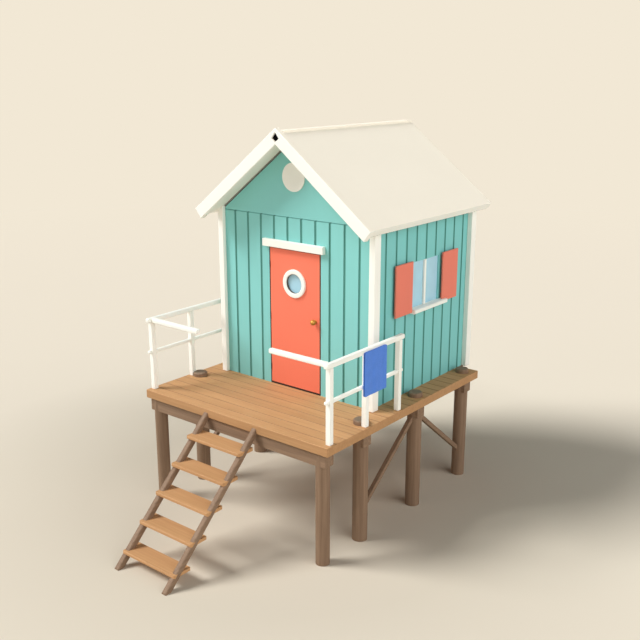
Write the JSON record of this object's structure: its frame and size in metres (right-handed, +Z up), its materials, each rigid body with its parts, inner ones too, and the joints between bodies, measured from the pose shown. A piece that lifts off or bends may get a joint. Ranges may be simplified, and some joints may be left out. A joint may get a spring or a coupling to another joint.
{
  "type": "beach hut",
  "caption": "Small gabled timber beach hut on round piles, with a railed porch deck, a ladder, a hinged door with a porthole, shuttered side windows and a towel hung on the rail",
  "frame": {"origin": "on the ground, under the middle of the bounding box", "axes": "+X to the right along the front, +Y from the ladder to the back of the hut, +Z up"},
  "size_m": [3.352, 5.813, 5.428],
  "materials": {
    "teal_boards": "painted, satin",
    "white_paint": "painted, satin",
    "roof_boards": "painted, matt",
    "coral_paint": "painted, satin",
    "deck_timber": "oiled",
    "pile_timber": "stained, matt",
    "pane": "clear",
    "knob_brass": "polished",
    "vent_black": "matt",
    "towel_cloth": "cotton terry"
  },
  "bodies": {
    "hut": {"front_wall_left": "teal_boards", "front_wall_right": "teal_boards", "front_wall_over_door": "teal_boards", "front_gable": "teal_boards", "hinge_frame_parts": "teal_boards", "left_wall_ends": "teal_boards", "left_wall_middle": "teal_boards", "right_wall_ends": "teal_boards", "right_wall_middle": "teal_boards", "back_wall": "teal_boards", "back_gable": "teal_boards", "door_sill": "teal_boards", "door_stops": "teal_boards", "corner_posts": "white_paint", "left_bargeboard": "white_paint", "right_bargeboard": "white_paint", "lintel": "white_paint", "gable_disc": "white_paint", "window_frames": "white_paint", "window_mullions": "white_paint", "window_sills": "white_paint", "rail_posts": "white_paint", "side_mid_rails": "white_paint", "side_top_rails": "white_paint", "front_rails": "white_paint", "towel_pegs": "white_paint", "roof_left": "roof_boards", "roof_right": "roof_boards", "ridge_cap": "roof_boards", "shutters": "coral_paint", "deck": "deck_timber", "tread_1": "deck_timber", "tread_2": "deck_timber", "tread_3": "deck_timber", "tread_4": "deck_timber", "tread_5": "deck_timber", "hut_floor": "deck_timber", "front_piles": "pile_timber", "second_piles": "pile_timber", "third_piles": "pile_timber", "back_piles": "pile_timber", "bearers": "pile_timber", "braces": "pile_timber", "left_stringer": "pile_timber", "right_stringer": "pile_timber", "back_floor_beam": "pile_timber", "window_glass": "pane", "vent_plate": "vent_black", "towel": "towel_cloth"},
    "door": {"door_leaf": "coral_paint", "porthole_ring": "white_paint", "porthole_inner_ring": "white_paint", "porthole_glass": "pane", "door_knobs": "knob_brass", "hinge_door_parts": "coral_paint"}
  },
  "joints": [
    {"name": "door_hinge", "type": "hinge", "parent": "hut", "child": "door", "pos_m": [-0.4575, 0.1275, 2.72], "axis": [0, 0, -1], "range_deg": [0, 165]}
  ]
}
